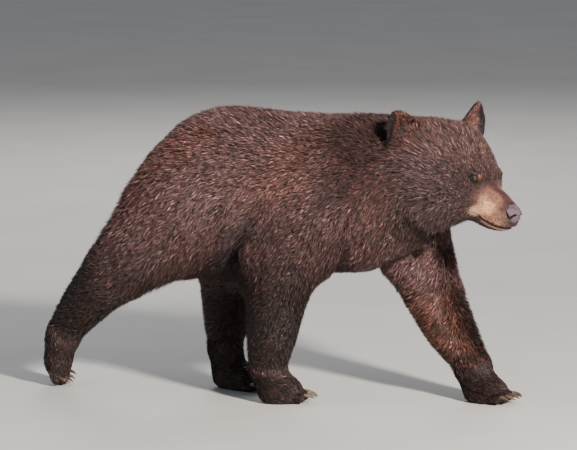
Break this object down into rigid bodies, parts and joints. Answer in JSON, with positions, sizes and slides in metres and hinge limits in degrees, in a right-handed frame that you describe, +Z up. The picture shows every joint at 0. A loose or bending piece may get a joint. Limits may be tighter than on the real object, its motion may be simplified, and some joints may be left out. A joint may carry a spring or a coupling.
{
  "type": "black bear model",
  "caption": "Still, life-size model of a brown-phase black bear walking with its head turned to its right, mouth closed, standing on its own paws.",
  "frame": {"origin": "on the floor, under the middle of the bounding box", "axes": "+X the way the bear walks, +Y its left, +Z up"},
  "size_m": [1.2494, 0.4068, 0.7238],
  "materials": {
    "coat": "dense brown fur",
    "leg_coat": "near-black brown fur",
    "muzzle_coat": "short tan fur",
    "nose_pad": "damp, pebbled, dark",
    "eye": "glossy dark brown",
    "claw": "dull dark horn"
  },
  "bodies": {
    "root": {"trunk": "coat", "neck": "coat", "head": "coat", "ear_right": "coat", "ear_left": "coat", "tail": "coat", "jaw": "muzzle_coat", "nose": "nose_pad", "eye_right": "eye", "eye_left": "eye", "upper_arm_right": "coat", "forearm_right": "leg_coat", "front_paw_right": "leg_coat", "front_claw_right_1": "claw", "front_claw_right_2": "claw", "front_claw_right_3": "claw", "front_claw_right_4": "claw", "front_claw_right_5": "claw", "upper_arm_left": "coat", "forearm_left": "leg_coat", "front_paw_left": "leg_coat", "front_claw_left_1": "claw", "front_claw_left_2": "claw", "front_claw_left_3": "claw", "front_claw_left_4": "claw", "front_claw_left_5": "claw", "thigh_right": "coat", "shank_right": "leg_coat", "hind_paw_right": "leg_coat", "hind_claw_right_1": "claw", "hind_claw_right_2": "claw", "hind_claw_right_3": "claw", "hind_claw_right_4": "claw", "hind_claw_right_5": "claw", "thigh_left": "coat", "shank_left": "leg_coat", "hind_paw_left": "leg_coat", "hind_claw_left_1": "claw", "hind_claw_left_2": "claw", "hind_claw_left_3": "claw", "hind_claw_left_4": "claw", "hind_claw_left_5": "claw"}
  },
  "joints": []
}
